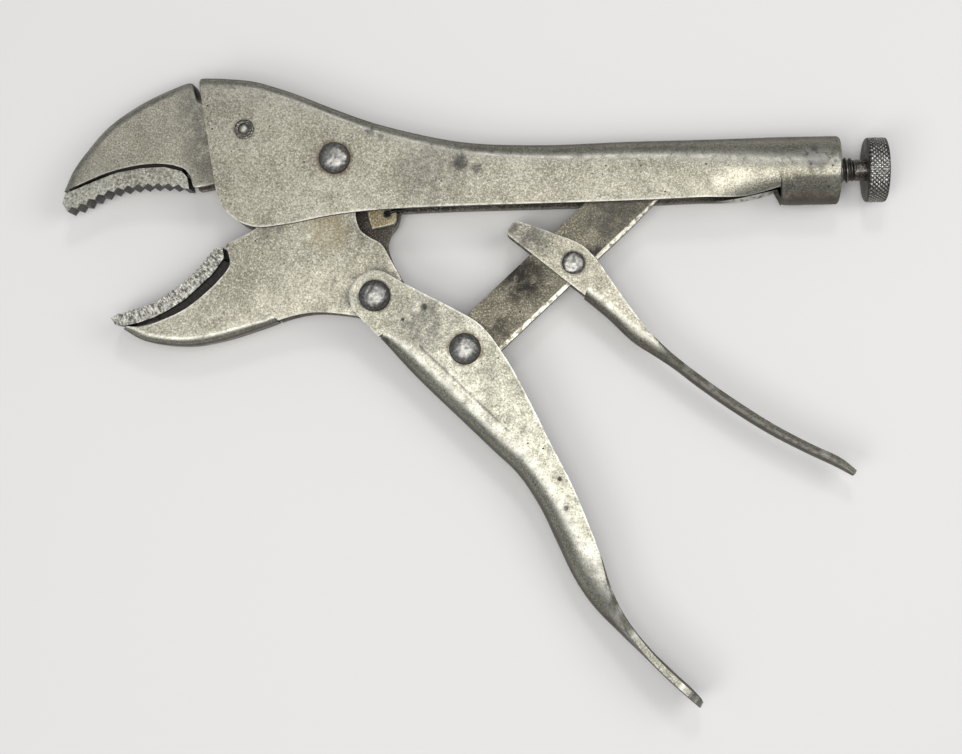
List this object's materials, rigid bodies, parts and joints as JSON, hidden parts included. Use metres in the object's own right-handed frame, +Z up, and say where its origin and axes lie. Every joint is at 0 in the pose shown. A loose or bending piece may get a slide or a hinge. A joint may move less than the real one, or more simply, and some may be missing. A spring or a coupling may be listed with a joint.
{
  "type": "locking pliers",
  "caption": "Curved-jaw locking pliers of folded steel sheet: toothed jaws, over-centre toggle link, release lever and a knurled adjusting screw.",
  "frame": {"origin": "jaw pivot axis at the plane the tool rests on when it lies on its side", "axes": "+X from the jaw pivot to the knob end, +Y to the back of the fixed handle, +Z up, along every pivot axis"},
  "size_m": [0.2536, 0.1935, 0.021],
  "materials": {
    "plated_sheet": "worn satin plating with fine dark pits",
    "hardened_steel": "bare, worn bright on the tooth crests",
    "bare_steel": "bare, oil stained",
    "rivet_steel": "polished dome with a dark edge",
    "dark_steel": "dark, oily",
    "blacked_steel": "blacked, knurl crests worn bright"
  },
  "bodies": {
    "fixed_handle": {"upper_handle_shell": "plated_sheet", "threaded_bush": "dark_steel", "upper_jaw_cover": "plated_sheet", "upper_jaw_insert": "hardened_steel", "upper_jaw_rivet": "rivet_steel", "jaw_pivot_rivet": "rivet_steel", "jaw_pivot_sleeve": "bare_steel"},
    "lower_jaw": {"lower_jaw_cover": "plated_sheet", "lower_jaw_insert": "hardened_steel"},
    "moving_handle": {"lower_handle": "plated_sheet", "handle_pivot_rivet": "rivet_steel", "handle_pivot_sleeve": "bare_steel", "link_rivet": "rivet_steel"},
    "toggle_link": {"toggle_link": "bare_steel"},
    "release_lever": {"release_lever": "plated_sheet", "release_lever_rivet": "rivet_steel"},
    "adjusting_screw": {"adjusting_screw": "dark_steel"},
    "knurled_knob": {"knurled_knob": "blacked_steel"},
    "return_spring": {"return_spring": "dark_steel"}
  },
  "joints": [
    {"name": "lower_jaw_hinge", "type": "hinge", "parent": "fixed_handle", "child": "lower_jaw", "pos_m": [0, 0, 0.0105], "axis": [0, 0, 1], "range_deg": [-23.5, 0], "stiffness_Nm_per_rad": 0.3, "springref_deg": 2.86},
    {"name": "moving_handle_hinge", "type": "hinge", "parent": "lower_jaw", "child": "moving_handle", "pos_m": [0.0122, -0.042, 0.0105], "axis": [0, 0, 1], "range_deg": [0, 71.6]},
    {"name": "toggle_link_hinge", "type": "hinge", "parent": "moving_handle", "child": "toggle_link", "pos_m": [0.0398, -0.0582, 0.0105], "axis": [0, 0, 1], "range_deg": [-69.3, 0]},
    {"name": "release_lever_hinge", "type": "hinge", "parent": "toggle_link", "child": "release_lever", "pos_m": [0.0728, -0.0316, 0.0105], "axis": [0, 0, 1], "range_deg": [0, 47.2]},
    {"name": "spring_swing", "type": "hinge", "parent": "lower_jaw", "child": "return_spring", "pos_m": [0.0154, -0.016, 0.0105], "axis": [0, 0, 1], "range_deg": [0, 28.5]},
    {"name": "adjusting_screw_slide", "type": "slide", "parent": "fixed_handle", "child": "adjusting_screw", "axis": [0.9998, 0.0175, 0], "range_m": [0, 0.012]},
    {"name": "knob_turn", "type": "hinge", "parent": "adjusting_screw", "child": "knurled_knob", "pos_m": [0.146, -0.00275, 0.0105], "axis": [0.9998, 0.0175, 0], "range_deg": [0, 2722.3]}
  ],
  "couplings": [
    {"joint": "moving_handle_hinge", "follows": "lower_jaw_hinge", "ratio": -3.04},
    {"joint": "toggle_link_hinge", "follows": "lower_jaw_hinge", "ratio": 2.94},
    {"joint": "release_lever_hinge", "follows": "lower_jaw_hinge", "ratio": -2},
    {"joint": "spring_swing", "follows": "lower_jaw_hinge", "ratio": -1.2055},
    {"joint": "knob_turn", "follows": "adjusting_screw_slide", "rad_per_m": 3957.9}
  ]
}
